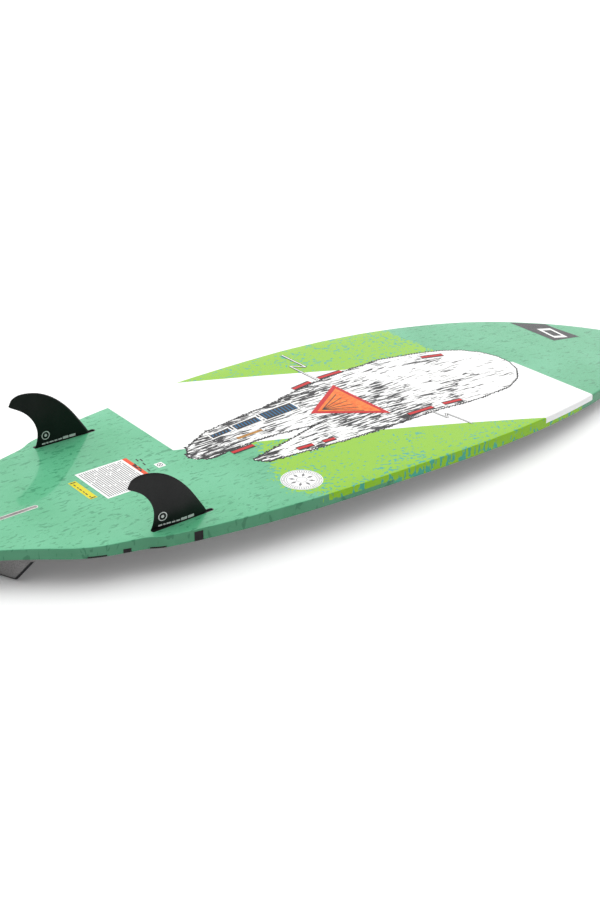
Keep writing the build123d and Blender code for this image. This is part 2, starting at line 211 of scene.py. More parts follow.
def board_sections():
    """Stations along the board with the bottom's height and the outline's half-width."""
    turn = np.linspace(-pi / 2, pi / 2, STATIONS)
    middle, half = (low.x + high.x) / 2, (high.x - low.x) / 2 - TIP
    xs = middle + half * np.sin(turn)
    hits = [cast(bottom_tree, (x, OFF_CENTRE, 1), (0, 0, -1)) for x in xs]
    last = next(hit.z for hit in hits if hit)
    heights, widths = [], []
    for hit in hits:
        if hit:
            last = hit.z
        heights.append(last)
    for x, z in zip(xs, heights):
        hit = cast(bottom_tree, (x, 0.5, z - BELOW_EDGE), (0, -1, 0))
        widths.append(hit.y if hit else 0.0)
    return xs, np.array(heights), np.array(widths)


section_x, section_z, section_width = board_sections()


def bottom_z(x):
    """Height of the bottom, which points up."""
    return float(np.interp(x, section_x, section_z))


def half_width(x):
    """Half the board's width."""
    return float(np.interp(x, section_x, section_width))


def deck_z(x, y):
    """Height of the deck's face, which points down."""
    for tree in deck_trees:
        hit = cast(tree, (x, y, -1), (0, 0, 1))
        if hit:
            return hit.z
    return None


# The printed skin over the bottom and the rails

SKIN = 0.001
RAIL_SEAM = 0.008  # height of the skins' seam above the deck
CRISP_EDGE = 0.0015  # radius of the bottom's edge along the tail
SOFT_EDGE = 0.0033  # and towards the nose, still outside the core's corner
SOFT_FROM, SOFT_TO = 0.05, 0.5
EDGE_SHARE = 0.8  # the most of the rail's height that the edge's radius takes
FILLET_STEPS = 6
FLAT_STEPS = 9
SPINE_END = 0.03  # from the board's ends to the ends of the line its flat faces meet on
SPINE_ROW = 1 + FILLET_STEPS + FLAT_STEPS  # the last row of vertices on the outside
DECK_INSET = 0.0016  # from the outline in to where the deck's height is taken
TAIL_POINTS = (0.0, 0.35, 0.7)  # across the tail's square end, as shares of its half-width


def outline_points():
    """The outline's points anticlockwise from above, from the tail's middle."""
    tail = [(low.x, section_width[0] * part) for part in TAIL_POINTS]
    half = tail + list(zip(section_x, section_width))
    left = [(x, -y) for x, y in half if y > 0]
    return [Vector(p) for p in half + [(high.x, 0.0)] + left[::-1]][::-1]


def inward_normals(points):
    """Unit normals into the board."""
    count = len(points)
    found = []
    for i in range(count):
        along = (points[(i + 1) % count] - points[i - 1]).normalized()
        found.append(Vector((-along.y, along.x)))
    return found


def edge_radius(x, wall):
    """Radius of the bottom's edge where the rail is as high as the wall."""
    part = min(max((x - SOFT_FROM) / (SOFT_TO - SOFT_FROM), 0.0), 1.0)
    radius = CRISP_EDGE + (SOFT_EDGE - CRISP_EDGE) * part * part * (3 - 2 * part)
    return min(radius, EDGE_SHARE * wall)


def skin_rows():
    """Closed rows of vertices round the board: seam, edge, spine, and back inside to the seam."""
    points = outline_points()
    columns = []
    seam = None
    for point, normal in zip(points, inward_normals(points)):
        inside = point + DECK_INSET * normal
        height = deck_z(inside.x, inside.y)
        seam = height + RAIL_SEAM if height is not None else seam
        wall = bottom_z(point.x) - seam
        radius = edge_radius(point.x, wall)
        column = [(point, seam - bottom_z(point.x)), (point, -radius)]
        for i in range(1, FILLET_STEPS + 1):
            turn = pi / 2 * i / FILLET_STEPS
            column.append((point + radius * (1 - cos(turn)) * normal, radius * (sin(turn) - 1)))
        flat = point + radius * normal
        spine = Vector((min(max(point.x, low.x + SPINE_END), high.x - SPINE_END), 0.0))
        for i in range(1, FLAT_STEPS + 1):
            column.append((flat.lerp(spine, i / FLAT_STEPS), 0.0))
        column.append((spine, -SKIN))
        column.append((point + max(SKIN, radius) * normal, -SKIN))
        column.append((point + SKIN * normal, seam - bottom_z(point.x)))
        columns.append([(place.x, place.y, bottom_z(place.x) + rise) for place, rise in column])
    return list(zip(*columns))


def make_object(name, data):
    """A new object in the scene, of a mesh, light or camera."""
    obj = bpy.data.objects.new(name, data)
    bpy.context.scene.collection.objects.link(obj)
    return obj


def rows_mesh(name, rows):
    """A mesh of quads between closed rows, and from the last row to the first.
    The rows meet along the spine twice, outside and inside. Faces between those two would make a
    wall, so there are none."""
    count = len(rows[0])
    verts = [place for row in rows for place in row]
    faces = []
    for r in range(len(rows)):
        if r == SPINE_ROW:
            continue
        after = (r + 1) % len(rows)
        for i in range(count):
            j = (i + 1) % count
            faces.append((r * count + i, r * count + j, after * count + j, after * count + i))
    mesh = bpy.data.meshes.new(name)
    mesh.from_pydata(verts, [], faces)
    bm = bmesh.new()
    bm.from_mesh(mesh)
    bmesh.ops.remove_doubles(bm, verts=bm.verts, dist=2e-6)
    bmesh.ops.dissolve_degenerate(bm, edges=bm.edges, dist=1e-6)
    bmesh.ops.recalc_face_normals(bm, faces=bm.faces)
    bm.to_mesh(mesh)
    bm.free()
    return mesh


def convex_outline(points):
    """The convex outline of plan points, anticlockwise."""
    ordered = sorted(set(points))
    outline = []
    for sweep in (ordered, ordered[::-1]):
        chain = []
        for p in sweep:
            while len(chain) > 1:
                (ax, ay), (bx, by) = chain[-2], chain[-1]
                if (bx - ax) * (p[1] - ay) - (by - ay) * (p[0] - ax) > 0:
                    break
                chain.pop()
            chain.append(p)
        outline += chain[:-1]
    return outline


RIM_DEPTH = 0.0002  # a box's rim is what lies less than this under the bottom
CUT_REACH = 0.003  # of the cut above and below the rim


def collar_cutters():
    """One mesh of prisms through the skin where the fin boxes come to the surface."""
    bm = bmesh.new()
    for name in ("left_fin_box", "right_fin_box", "centre_fin_box"):
        rim = []
        for vertex in nodes[name].data.vertices:
            x, y, z = vertex.co
            if z > bottom_z(x) - RIM_DEPTH:
                rim.append((round(x, 6), round(y, 6)))
        outline = convex_outline(rim)
        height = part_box(name)[1].z
        face = bm.faces.new([bm.verts.new((x, y, height - CUT_REACH)) for x, y in outline])
        grown = bmesh.ops.extrude_face_region(bm, geom=[face])["geom"]
        for item in grown:
            if isinstance(item, bmesh.types.BMVert):
                item.co.z += 2 * CUT_REACH
    bmesh.ops.recalc_face_normals(bm, faces=bm.faces)
    mesh = bpy.data.meshes.new("cutters")
    bm.to_mesh(mesh)
    bm.free()
    return make_object("cutters", mesh)


def applied_mesh(obj):
    """The object's mesh with its modifiers applied."""
    evaluated = obj.evaluated_get(bpy.context.evaluated_depsgraph_get())
    return bpy.data.meshes.new_from_object(evaluated)


def cut_skin():
    """The whole skin with openings for the fin boxes."""
    skin = make_object("skin", rows_mesh("skin", skin_rows()))
    cutters = collar_cutters()
    cut = skin.modifiers.new("openings", "BOOLEAN")
    cut.operation = "DIFFERENCE"
    cut.solver = "EXACT"
    cut.object = cutters
    mesh = applied_mesh(skin)
    bpy.data.objects.remove(skin)
    bpy.data.objects.remove(cutters)
    return mesh


# The print's straight borders, as two plan points each, in millimetres
TAIL_BORDER = ((-293, 31), (-293, 240))
NEAR_BORDER = ((-293, 31), (313, -236))
FAR_BORDER = ((-136, 247), (437, -14))
NOSE_BORDER = ((437, -14), (459, -208))


def side_of(border, x, y):
    """Positive on the left of a border, seen from above and going from its first point."""
    (ax, ay), (bx, by) = border
    return (bx - ax) * (y / MM - ay) - (by - ay) * (x / MM - ax)


def zone_of(x, y):
    """The printed zone that a plan point is in."""
    if side_of(NEAR_BORDER, x, y) < 0 or side_of(TAIL_BORDER, x, y) > 0:
        return "skin_tail"
    if side_of(FAR_BORDER, x, y) > 0 or side_of(NOSE_BORDER, x, y) > 0:
        return "skin_nose"
    return "skin_band"


def shade(mesh, angle=30.0):
    """Smooth shading with sharp edges above an angle."""
    mesh.polygons.foreach_set("use_smooth", [True] * len(mesh.polygons))
    mesh.set_sharp_from_angle(angle=radians(angle))


def split_skin(mesh):
    """The skin as one piece per printed zone."""
    bm = bmesh.new()
    bm.from_mesh(mesh)
    for (ax, ay), (bx, by) in (TAIL_BORDER, NEAR_BORDER, FAR_BORDER, NOSE_BORDER):
        start = (ax * MM, ay * MM, 0)
        across = Vector((-(by - ay), bx - ax, 0)).normalized()
        geometry = [*bm.verts, *bm.edges, *bm.faces]
        bmesh.ops.bisect_plane(bm, geom=geometry, dist=1e-6, plane_co=start, plane_no=across)
    pieces = {}
    for zone in ("skin_tail", "skin_band", "skin_nose"):
        part = bm.copy()
        wrong = []
        for face in part.faces:
            middle = face.calc_center_median()
            if zone_of(middle.x, middle.y) != zone:
                wrong.append(face)
        bmesh.ops.delete(part, geom=wrong, context="FACES")
        piece = bpy.data.meshes.new(zone)
        part.to_mesh(piece)
        part.free()
        shade(piece)
        pieces[zone] = make_object(zone, piece)
    bm.free()
    return pieces


skins = split_skin(cut_skin())
for piece in skins.values():
    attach(piece, "board")
    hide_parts("bottom_laminate")


# Printed laminate

GLOSS = {"Coat_Weight": 0.32, "Coat_Roughness": 0.04, "Specular_IOR_Level": 0.1}
WEAVE_SCALE = 900
WEAVE_RELIEF = 0.02  # of the weave, as a part of the ripple
RIPPLE_SCALE = 26
RIPPLE_DEPTH = 0.0002


def gloss_laminate(name):
    """A laminate under a clear gloss coat with a faint ripple, its colour still to be fed."""
    shader = Shader(name, **GLOSS)
    weave = shader.grain(WEAVE_SCALE, 2.0)
    shader.set(Roughness=shader.spread(weave, 0.24, 0.36))
    ripple = shader.grain(RIPPLE_SCALE, 2.0)
    height = shader.maths("ADD", ripple, shader.maths("MULTIPLY", weave, WEAVE_RELIEF))
    shader.set(Coat_Normal=shader.relief(height, 0.25, RIPPLE_DEPTH))
    return shader


RAIL_STRETCH = 0.16  # scale of the print's marks down the rail, against that across the bottom
RAIL_PAINTED_SHADE = 0.4  # how far the print on the upright rail is mixed with grey, as painted shade
NOSE_SHADE = 0.09  # how far the teal all over the nose is mixed with that grey
MARK_DENSITY = 0.55
SPECK_SCALE = 150.0
CLOUD_SCALE = 7.0
SHORT_MARKS = {"turn": radians(14), "length": 0.0085, "width": 0.0030}
LONG_MARKS = {"turn": radians(-24), "length": 0.0105, "width": 0.0026}
PALE_MARKS = {"turn": radians(-9), "length": 0.022, "width": 0.006}
FINE_STROKES = {"turn": radians(-12), "length": 0.016, "width": 0.0021}
COARSE_STROKES = {"turn": radians(9), "length": 0.030, "width": 0.0052}


def plan(shader, turn=0.0, scale=(1, 1)):
    """Plan coordinates, stretched down the height of the rail."""
    return shader.place((scale[0], scale[1], RAIL_STRETCH * (scale[0] + scale[1])), turn)


def marks(shader, kind, start, end, detail=1.0):
    """Scattered marks of one kind: noise mapped from start..end to 0..1, a higher start for fewer."""
    where = plan(shader, kind["turn"], (1 / kind["length"], 1 / kind["width"]))
    return shader.step(shader.grain(MARK_DENSITY, detail, where, 0.6), start, end)


def rail_part(shader):
    """1 on the upright rail, 0 on the flat bottom and deck."""
    normal = shader.split(shader.add("NewGeometry", output="Normal"))
    return shader.step(shader.maths("ABSOLUTE", normal["Z"]), 0.3, 0.75, 1.0, 0.0)


def teal_print(shader, deeper=0.0):
    """Teal with dark and pale flecks, greyed on the upright rail as painted shade, and greyed by deeper
    elsewhere.
    """
    clouds = shader.grain(CLOUD_SCALE, 3.0, plan(shader))
    base = shader.mix(shader.step(clouds, 0.35, 0.68), linear(TEAL), linear(TEAL_PALE))
    pale = marks(shader, PALE_MARKS, 0.585, 0.66, 2.0)
    base = shader.mix(shader.maths("MULTIPLY", pale, 0.35), base, linear(TEAL_PALE))
    short = marks(shader, SHORT_MARKS, 0.635, 0.675)
    long = marks(shader, LONG_MARKS, 0.655, 0.69)
    flecks = shader.maths("MULTIPLY", shader.maths("MAXIMUM", short, long), 0.62)
    base = shader.mix(flecks, base, linear(TEAL_DEEP))
    # Painted shade: the print on the upright rail is greyed so that it looks less lit than the bottom.
    shade_part = shader.maths("MULTIPLY", rail_part(shader), RAIL_PAINTED_SHADE - deeper)
    return shader.mix(shader.maths("ADD", shade_part, deeper), base, linear(SHADE_AND_TONE_GREY))


def lime_print(shader, crowd):
    """Lime with small blue-green flecks, more of them where crowd is high."""
    fine = shader.grain(SPECK_SCALE, 1.5, plan(shader, 0.6, (1, 1.35)))
    patches = shader.grain(16.0, 2.0, plan(shader))
    amount = shader.maths("ADD", fine, shader.maths("MULTIPLY", patches, 0.32))
    flecks = shader.step(shader.maths("ADD", amount, crowd), 0.80, 0.83)
    return shader.mix(flecks, linear(LIME), linear(LIME_FLECK))


def dissolve(shader, distance, width):
    """0 before a border and 1 after it, broken up over the width by specks."""
    specks = shader.grain(SPECK_SCALE, 3.0, plan(shader))
    ramp = shader.step(distance, -width, width, 0.2, 0.8)
    return shader.step(shader.maths("SUBTRACT", ramp, specks), -0.01, 0.01)


def split_plan(shader):
    """The place along the board and across it."""
    point = shader.split(shader.add("TexCoord", output="Object"))
    return point["X"], point["Y"]


def border_curve(shader, y, places):
    """The border's x at each y, from a few plan points in millimetres."""
    ramp = shader.tree.nodes.new("ShaderNodeValToRGB")
    ramp.color_ramp.interpolation = "EASE"
    low_y, high_y = places[0][1], places[-1][1]
    low_x = min(x for x, _ in places)
    span_x = max(x for x, _ in places) - low_x
    elements = ramp.color_ramp.elements
    while len(elements) < len(places):
        elements.new(0.5)
    for element, (x, py) in zip(elements, places):
        element.position = (py - low_y) / (high_y - low_y)
        level = (x - low_x) / span_x
        element.color = (level, level, level, 1)
    shader.feed(ramp.inputs[0], shader.step(y, low_y * MM, high_y * MM))
    return shader.step(ramp.outputs[0], 0, 1, low_x * MM, (low_x + span_x) * MM)


# Where teal turns to lime on the near side, as plan points in millimetres, and where lime turns to
# teal on the far side, in metres
NEAR_LIME = ((-170, -260), (-218, -205), (-212, -150), (-190, -105), (-172, -50))
FAR_LIME_Y = (0.099, 0.220)
FAR_LIME_X = (0.344, 0.327)
NEAR_BREAK = 0.026  # half the width over which the colours break up
FAR_BREAK = 0.012


def tail_material():
    """Teal over the tail, which breaks up into lime along the near rail."""
    shader = gloss_laminate("print_tail")
    x, y = split_plan(shader)
    distance = shader.maths("SUBTRACT", x, border_curve(shader, y, NEAR_LIME))
    near_border = shader.step(distance, 0.0, 0.20, 0.08, -0.03)
    near_rail = shader.step(y, -0.245, -0.18, 0.09, -0.03)
    near_rail = shader.maths("MULTIPLY", near_rail, shader.step(x, 0.0, 0.30, 1.0, 0.2))
    crowd = shader.maths("MAXIMUM", near_border, near_rail)
    lime = dissolve(shader, distance, NEAR_BREAK)
    shader.set(Base_Color=shader.mix(lime, teal_print(shader), lime_print(shader, crowd)))
    return shader.material


def nose_material():
    """Lime along the far rail, which breaks up into the teal nose."""
    shader = gloss_laminate("print_nose")
    x, y = split_plan(shader)
    distance = shader.maths("SUBTRACT", x, shader.step(y, *FAR_LIME_Y, *FAR_LIME_X))
    crowd = shader.step(distance, -0.25, 0.0, 0.02, 0.09)
    teal = dissolve(shader, distance, FAR_BREAK)
    shader.set(Base_Color=shader.mix(teal, lime_print(shader, crowd), teal_print(shader, NOSE_SHADE)))
    return shader.material


def band_material():
    """The white band, hardly mottled."""
    shader = gloss_laminate("print_white")
    tone = shader.grain(12.0, 4.0, plan(shader))
    shader.set(Base_Color=shader.mix(shader.spread(tone), linear(BAND_GREY), linear(WHITE)))
    return shader.material


finish(tail_material(), skins["skin_tail"])
finish(nose_material(), skins["skin_nose"])
finish(band_material(), skins["skin_band"])


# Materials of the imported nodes


def moulded(name, colour, rough):
    """Moulded plastic with a fine texture and slight changes in tone."""
    shader = Shader(name)
    fine = shader.grain(700, 3.0)
    broad = shader.grain(28, 2.0)
    shader.set(
        Base_Color=shader.mix(shader.spread(broad), linear(scaled(colour, 0.82)), linear(colour)),
        Roughness=shader.spread(fine, rough - 0.08, rough + 0.08),
    )
    shader.bump(fine, 0.15, 0.0004)
    return shader.material


def fin_material():
    """Gloss black moulding with faint flow marks."""
    shader = Shader("fin_gloss")
    flow = shader.grain(60, 3.0, shader.place((1, 1, 0.35)))
    fine = shader.grain(1400, 2.0)
    shader.set(
        Base_Color=shader.mix(shader.spread(flow), linear(FIN_BLACK), linear(FIN_FLOW)),
        Roughness=shader.spread(fine, 0.26, 0.38),
        Specular_IOR_Level=0.22,
    )
    shader.bump(flow, 0.06, 0.0004)
    return shader.material


def metal(name, colour, rough):
    """Metal with fine turned lines."""
    shader = Shader(name, Metallic=1.0)
    brushed = shader.grain(900, 3.0, shader.place((1, 1, 12)))
    shader.set(
        Base_Color=shader.mix(shader.spread(brushed), linear(colour), linear(scaled(colour, 0.8))),
        Roughness=shader.spread(brushed, rough - 0.08, rough + 0.1),
    )
    shader.bump(brushed, 0.2, 0.0002)
    return shader.material


def foam_material(name, colour):
    """Foam with visible cells."""
    shader = Shader(name, Roughness=0.9)
    cells = shader.add("TexVoronoi", {"Vector": shader.place(), "Scale": 260.0})
    tone = shader.mix(shader.step(cells, 0, 0.8), linear(colour), linear(scaled(colour, 0.9)))
    shader.set(Base_Color=tone)
    shader.bump(cells, 0.4, 0.0006)
    return shader.material


def wood_material():
    """Pale wood with its grain along the board."""
    shader = Shader("stringer_wood", Roughness=0.6)
    rings = shader.grain(30, 4.0, shader.place((0.6, 30, 12)), 0.4)
    shader.set(Base_Color=shader.mix(shader.spread(rings), linear(WOOD), linear(WOOD_RING)))
    shader.bump(rings, 0.3, 0.0003)
    return shader.material


DECK_NOSE_X = 0.42  # on the deck skin's part of the rail, lime lies between these two
DECK_TAIL_X = -0.05


def deck_material():
    """The deck skin: pale grey with faint flecks, and the bottom's print on its part of the rail."""
    shader = gloss_laminate("print_deck")
    x, _ = split_plan(shader)
    ahead = dissolve(shader, shader.maths("SUBTRACT", x, DECK_NOSE_X), 0.02)
    behind = dissolve(shader, shader.maths("SUBTRACT", DECK_TAIL_X, x), 0.05)
    crowd = shader.step(x, 0.0, 0.32, 0.16, 0.03)
    teal = shader.maths("MAXIMUM", ahead, behind)
    # The teal here is greyed on the upright rail as painted shade, by teal_print.
    rail = shader.mix(teal, lime_print(shader, crowd), teal_print(shader))
    flecks = marks(shader, SHORT_MARKS, 0.60, 0.66)
    clouds = shader.spread(shader.grain(CLOUD_SCALE, 3.0))
    face = shader.mix(clouds, linear(DECK_GREY), linear(DECK_PALE))
    face = shader.mix(shader.maths("MULTIPLY", flecks, 0.4), face, linear(DECK_FLECK))
    shader.set(Base_Color=shader.mix(rail_part(shader), face, rail))
    return shader.material


stainless = metal("stainless_brushed", (176, 178, 180), 0.32)
brass = metal("brass_turned", (190, 152, 84), 0.3)
dark_box = moulded("box_dark", (48, 42, 42), 0.45)
pale_box = moulded("box_pale", (236, 231, 230), 0.42)
fitting = moulded("fitting_black", (30, 30, 32), 0.5)
rubber = moulded("seal_rubber", (22, 22, 22), 0.6)
foam = foam_material("core_foam", (246, 246, 240))
dense_foam = foam_material("tail_block_foam", (226, 220, 196))
wood = wood_material()
fin_black = fin_material()
deck = deck_material()
node_materials = {
    "left_fin": fin_black, "right_fin": fin_black,
    "left_fin_box": dark_box, "right_fin_box": dark_box, "centre_fin_box": pale_box,
    "left_fin_screw": stainless, "right_fin_screw": stainless, "centre_fin_screw": stainless,
    "front_strap_inserts": brass, "rear_strap_inserts": brass,
    "leash_plug_cup": fitting, "leash_plug_pin": stainless,
    "vent_body": fitting, "vent_screw": fitting, "vent_seal": rubber,
    "foam_core_left": foam, "foam_core_right": foam, "stringer": wood,
    "deck_laminate": deck, "tail_deck_laminate": deck, "bottom_laminate": deck, "tail_block": dense_foam,
}
for name, material in node_materials.items():
    finish(material, nodes[name])


# Printed shapes on the bottom: thin pieces that follow its curve

DECAL_STEP = 0.02
LAYER = 0.00014  # height of one printed layer above the one under it


def bar(start, end, width):
    """The outline of a straight bar between two points."""
    a, b = Vector(start), Vector(end)
    side = (b - a).normalized().orthogonal() * width / 2
    return [tuple(a + side), tuple(a - side), tuple(b - side), tuple(b + side)]


def disc(centre, radius, count):
    """The outline of a disc."""
    turns = [2 * pi * i / count for i in range(count)]
    return [(centre[0] + radius * cos(t), centre[1] + radius * sin(t)) for t in turns]


def ring(centre, radius, width, count):
    """A ring as short bars, end to end."""
    outer, inner = disc(centre, radius, count), disc(centre, radius - width, count)
    corners = zip(outer, outer[1:] + outer[:1], inner[1:] + inner[:1], inner)
    return [list(places) for places in corners]


def box_outline(x0, y0, x1, y1):
    """The outline of an upright box."""
    return [(x0, y0), (x1, y0), (x1, y1), (x0, y1)]


def flat_mesh(outlines):
    """Faces for plan outlines in millimetres, cut across every step along the board."""
    bm = bmesh.new()
    for outline in outlines:
        bm.faces.new([bm.verts.new((x * MM, y * MM, 0)) for x, y in outline])
    bmesh.ops.triangulate(bm, faces=bm.faces)
    for face in bm.faces:
        if face.normal.z < 0:
            face.normal_flip()
    first = min(v.co.x for v in bm.verts)
    last = max(v.co.x for v in bm.verts)
    x = first + DECAL_STEP
    while x < last:
        geometry = [*bm.verts, *bm.edges, *bm.faces]
        bmesh.ops.bisect_plane(bm, geom=geometry, dist=1e-7, plane_co=(x, 0, 0), plane_no=(1, 0, 0))
        x += DECAL_STEP
    return bm


def decal(name, outlines, layer, material):
    """One printed piece of one or more plan outlines in millimetres."""
    bm = flat_mesh(outlines)
    for vertex in bm.verts:
        vertex.co.z = bottom_z(vertex.co.x) + layer * LAYER
    mesh = bpy.data.meshes.new(name)
    bm.to_mesh(mesh)
    bm.free()
    shade(mesh)
    obj = make_object(name, mesh)
    finish(material, obj)
    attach(obj, "board")


INK_COAT = 0.1  # weight of the gloss coat over the printed shapes


def ink_material(name, colour, other, mottle=0.35):
    """A flat print colour, slightly mottled, under a thinner gloss coat."""
    shader = gloss_laminate(name)
    shader.set(Coat_Weight=INK_COAT)
    tone = shader.grain(120.0, 3.0, plan(shader))
    factor = shader.maths("MULTIPLY", shader.spread(tone), mottle)
    shader.set(Base_Color=shader.mix(factor, linear(colour), linear(other)))
    return shader.material


def hatch_material():
    """Pen strokes in ink over white, thicker in some patches than in others."""
    shader = gloss_laminate("print_hatch")
    shader.set(Coat_Weight=INK_COAT)
    patches = shader.grain(11.0, 2.0, plan(shader))
    fine = marks(shader, FINE_STROKES, 0.0, 1.0, 3.0)
    coarse = marks(shader, COARSE_STROKES, 0.0, 1.0, 3.0)
    x, _ = split_plan(shader)
    fade = shader.step(x, -0.05, 0.36, 0.0, 0.09)
    crowd = shader.maths("SUBTRACT", shader.step(patches, 0.36, 0.66, -0.06, 0.08), fade)
    strokes = shader.step(shader.maths("ADD", fine, crowd), 0.51, 0.55)
    shadows = shader.step(shader.maths("ADD", coarse, crowd), 0.63, 0.66)
    grey = shader.mix(strokes, linear(PAPER), linear(STROKE_GREY))
    shader.set(Base_Color=shader.mix(shadows, grey, linear(INK)))
    return shader.material


ink = ink_material("print_ink", INK, (58, 54, 56))
white_ink = ink_material("print_label_white", PAPER, (230, 231, 230))
red_ink = ink_material("print_red", RED, (188, 26, 36))
orange_ink = ink_material("print_orange", ORANGE, (252, 158, 60), 0.6)
blue_ink = ink_material("print_blue", BLUE, (34, 92, 130), 0.7)
gold_ink = ink_material("print_gold", (196, 138, 52), (120, 84, 40), 0.7)
label_orange = ink_material("print_label_orange", LABEL_ORANGE, (240, 90, 48))
label_yellow = ink_material("print_label_yellow", LABEL_YELLOW, (222, 208, 40))
patch_ink = ink_material("print_patch", PATCH_GREY, (96, 95, 97))
hatch = hatch_material()


TOOTH = 6  # length along the edge, and the longest reach outwards
TOOTH_LEAN = 0.6


def ragged(outline):
    """The outline with its edges broken into short teeth that lean towards the tail."""
    draw = random.Random(3)
    result = []
    for a, b in zip(outline, outline[1:] + outline[:1]):
        a, b = Vector(a), Vector(b)
        along = b - a
        out = Vector((along.y, -along.x)).normalized()
        count = max(1, round(along.length / TOOTH))
        for i in range(count):
            base = a + along * i / count
            tip = a + along * (i + draw.uniform(0.25, 0.6)) / count
            reach = TOOTH * draw.uniform(0.3, 1.0)
            result.append(tuple(base))
            result.append(tuple(tip + out * reach + Vector((-TOOTH_LEAN * reach, 0))))
    return result


# An abstract brush stroke, anticlockwise from its longer tail
STROKE = [
    (-286, -4), (-262, -30), (-140, -20), (-30, -34), (-120, -58), (-205, -78), (-188, -96), (-60, -108),
    (60, -112), (170, -106), (262, -110), (350, -98), (392, -74), (418, -44), (430, -12), (429, 20),
    (416, 50), (388, 78), (356, 93), (318, 104), (226, 120), (130, 112), (40, 100), (-60, 74),
    (-150, 64), (-215, 52), (-270, 22),
]
TRIANGLE = [(-22, 6), (94, -72), (84, 78)]
TRIANGLE_FILL = 0.8  # size of the triangle's fill, against its edge
FAN_RAYS = 6
FAN_START, FAN_END = 26, 84  # along the board, from the triangle's corner
FAN_LOW, FAN_PITCH = -44, 16
LINE = 1.6
WINDOWS = [((-214, 26), (-172, 44)), ((-162, 28), (-108, 52)), ((-98, 30), (-26, 62))]
LOWER_BARS = [((-220, -36), (-174, -34)), ((-124, -90), (-92, -92)), ((-72, -94), (-48, -95))]
UPPER_BARS = [((14, 104), (58, 112)), ((80, 116), (134, 118)), ((300, 88), (344, 78))]
SIDE_BARS = [((116, -94), (172, -94)), ((196, -94), (236, -97))]
BAR_EDGE, BAR_FILL = 13, 7  # widths
GOLD_BAR = ((-182, 2), (-128, 4))
WINDOW_FRAME = 3
WINDOW_SLANT = 5
SLAT_PITCH = 7
SLAT_WIDTH = 2.7
SLAT_LEAN = 2
SLAT_GAP = 6  # between a slat's end and the pane's edge
BOLTS = (  # points, and the widths of the edge and the fill
    ([(88, 236), (92, 168), (70, 188), (74, 112)], 5, 2.4),
    ([(158, -104), (164, -142), (174, -126), (184, -184)], 4, 1.8),
)


def shrunk(points, part):
    """A triangle scaled about its middle."""
    middle = sum((Vector(p) for p in points), Vector((0, 0))) / 3
    return [tuple(middle + (Vector(p) - middle) * part) for p in points]


def chain(points, width):
    """Bars from each point to the next."""
    return [bar(a, b, width) for a, b in zip(points, points[1:])]


def windows():
    """A row of slanted panes with slats."""
    frames, panes, slats = [], [], []
    for (x0, y0), (x1, y1) in WINDOWS:
        left, right = x0 - WINDOW_FRAME, x1 + WINDOW_FRAME
        frames.append([(left, y0 - 3), (right, y0 + 3), (right, y1 + 4), (left, y1 - 3)])
        panes.append([(x0, y0), (x1, y0 + WINDOW_SLANT), (x1, y1), (x0, y1 - WINDOW_SLANT)])
        count = round((x1 - x0) / SLAT_PITCH)
        for i in range(count):
            x = x0 + (x1 - x0) * (i + 0.5) / count
            slats.append(bar((x, y0 + WINDOW_SLANT), (x + SLAT_LEAN, y1 - SLAT_GAP), SLAT_WIDTH))
    decal("window_frames", frames, 3, white_ink)
    decal("window_panes", panes, 4, ink)
    decal("window_slats", slats, 5, blue_ink)


def artwork():
    """An abstract brush stroke with inlaid shapes."""
    edge = ragged(STROKE)
    decal("stroke_hatch", [edge], 1, hatch)
    decal("stroke_edge", chain(edge + edge[:1], 2.2), 2, ink)
    decal("triangle_edge", [TRIANGLE], 3, red_ink)
    decal("triangle_fill", [shrunk(TRIANGLE, TRIANGLE_FILL)], 4, orange_ink)
    x, y = TRIANGLE[0]
    ends = [(x + FAN_END, y + FAN_LOW + FAN_PITCH * i) for i in range(FAN_RAYS)]
    fan = [bar((x + FAN_START, y), end, LINE) for end in ends]
    decal("triangle_fan", fan, 5, ink)
    windows()
    bars = LOWER_BARS + UPPER_BARS + SIDE_BARS
    decal("bar_edges", [bar(*ends, BAR_EDGE) for ends in bars], 3, ink)
    decal("bar_fills", [bar(*ends, BAR_FILL) for ends in bars], 4, red_ink)
    decal("gold_bar", [bar(*GOLD_BAR, BAR_FILL)], 3, gold_ink)
    bolt_edges, bolt_fills = [], []
    for points, edge_width, fill_width in BOLTS:
        bolt_edges += chain(points, edge_width)
        bolt_fills += chain(points, fill_width)
    decal("bolt_edges", bolt_edges, 3, ink)
    decal("bolt_fills", bolt_fills, 4, white_ink)


ROUNDEL = Vector((-185, -182))
ROUNDEL_RADIUS = 35
ROUNDEL_RINGS = ((33.2, 96), (25.5, 96), (9, 48))  # radius, and bars in the ring
RING_WIDTH = 0.7
TICK_WIDTH = 1.2
TICKS = 48
TICK_START, TICK_END, LONG_TICK_END = 27.4, 30.6, 32
PETALS = 8
PETAL_PLACE = 16.5
PETAL_OUT, PETAL_IN, PETAL_HALF = 6.5, 6.0, 2.6  # from a petal's middle to its corners


def roundel():
    """A plain white disc with rings, ticks and a ring of petals."""
    decal("roundel_disc", [disc(ROUNDEL, ROUNDEL_RADIUS, 96)], 1, white_ink)
    lines = []
    for radius, count in ROUNDEL_RINGS:
        lines += ring(ROUNDEL, radius, RING_WIDTH, count)
    for i in range(TICKS):
        turn = 2 * pi * i / TICKS
        reach = TICK_END if i % 4 else LONG_TICK_END
        along = Vector((cos(turn), sin(turn)))
        lines.append(bar(ROUNDEL + TICK_START * along, ROUNDEL + reach * along, TICK_WIDTH))
    for i in range(PETALS):
        turn = 2 * pi * i / PETALS
        along = Vector((cos(turn), sin(turn)))
        across = along.orthogonal()
        middle = ROUNDEL + PETAL_PLACE * along
        corners = (PETAL_OUT * along, PETAL_HALF * across, -PETAL_IN * along, -PETAL_HALF * across)
        lines.append([tuple(middle + corner) for corner in corners])
    decal("roundel_lines", lines, 2, ink_material("print_grey", (120, 120, 122), (96, 96, 98)))


